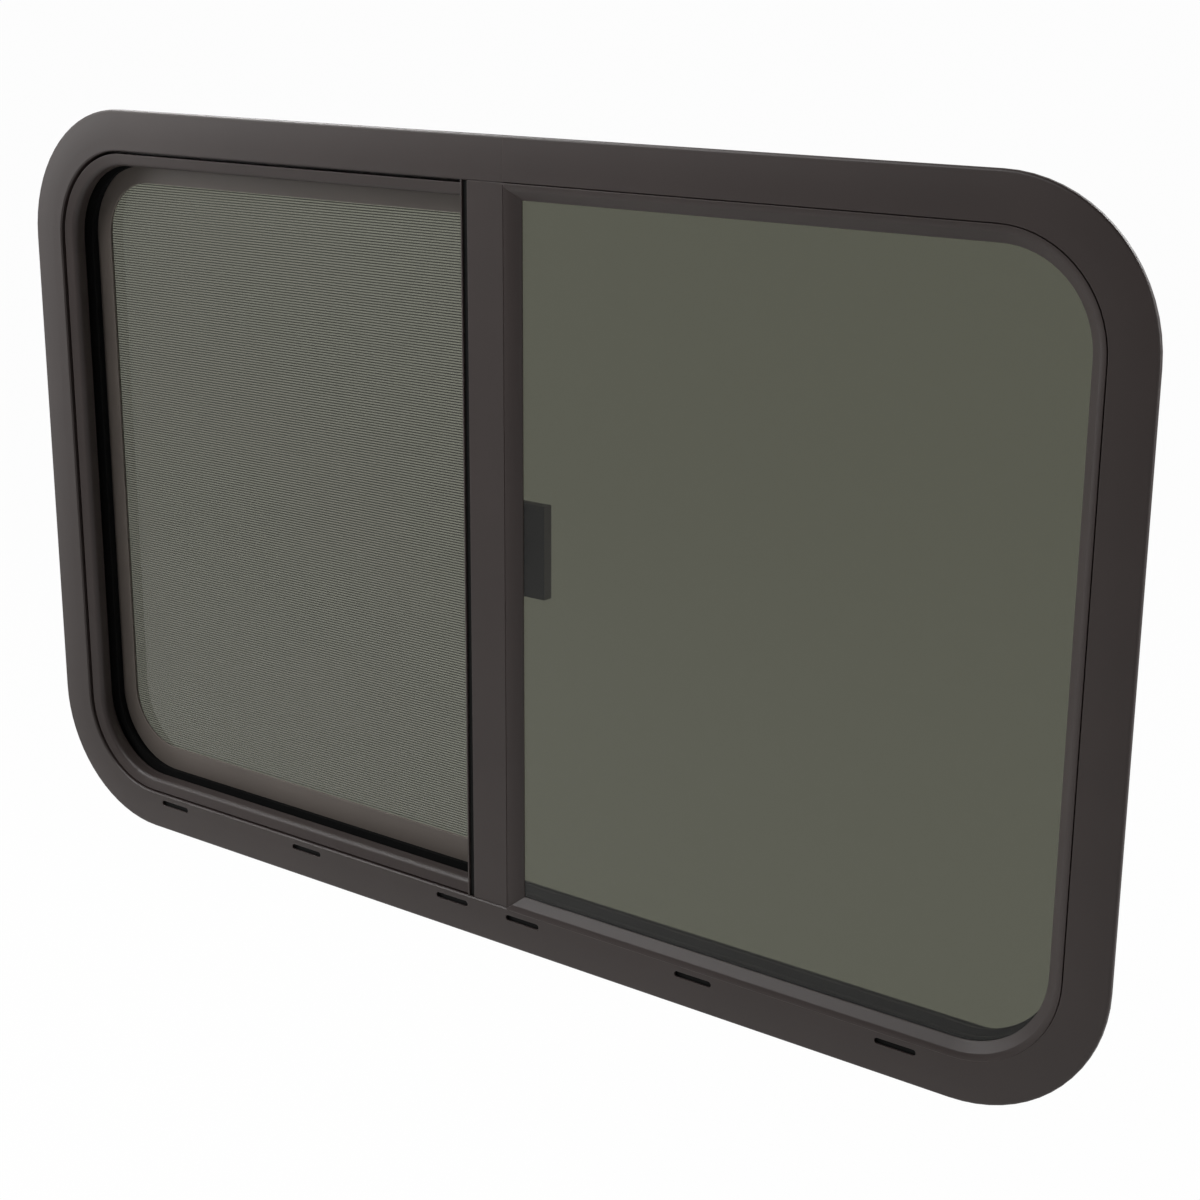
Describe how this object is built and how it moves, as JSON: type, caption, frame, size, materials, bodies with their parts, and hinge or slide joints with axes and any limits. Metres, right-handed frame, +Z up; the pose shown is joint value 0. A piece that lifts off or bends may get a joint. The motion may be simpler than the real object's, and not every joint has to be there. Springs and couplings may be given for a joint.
{
  "type": "caravan half-slider window",
  "caption": "Rounded aluminium camper window with a fixed tinted pane, a sliding tinted sash in an inner track, an insect screen and a mounting flange.",
  "frame": {"origin": "on the back face of the mounting flange, at the middle of its lower run", "axes": "+X to the right seen from outside, +Y inward through the wall, +Z up"},
  "size_m": [0.914, 0.0547, 0.563],
  "materials": {
    "bronze_frame": "satin dark bronze powder coat",
    "bronze_sash": "satin dark bronze powder coat",
    "tinted_glass": "grey-green tinted, polished",
    "black_rubber": "matt black",
    "black_pile": "dense short pile",
    "black_plastic": "fine moulded texture",
    "screen_mesh": "woven coated glass fibre",
    "mill_aluminium": "plain mill finish"
  },
  "bodies": {
    "root": {"outer_frame": "bronze_frame", "frame_joiner": "mill_aluminium", "weep_baffles": "black_plastic", "mullion": "bronze_frame", "mullion_seal": "black_rubber", "mullion_bead": "bronze_frame", "fixed_bead": "bronze_frame", "fixed_glass": "tinted_glass", "fixed_glass_tape": "black_rubber", "setting_blocks": "black_rubber", "vent_trim": "bronze_frame", "channel_lining": "black_pile", "sash_frame": "bronze_sash", "sash_stile": "bronze_sash", "sash_glass": "tinted_glass", "sash_glass_seal": "black_rubber", "sash_glides": "black_plastic", "sash_stops": "black_rubber", "outer_pile": "black_pile", "inner_pile": "black_pile", "meeting_pile": "black_pile", "latch_body": "black_plastic", "latch_lever": "black_plastic", "screen_frame": "bronze_sash", "screen_mesh": "screen_mesh", "screen_spline": "black_rubber"}
  },
  "joints": []
}
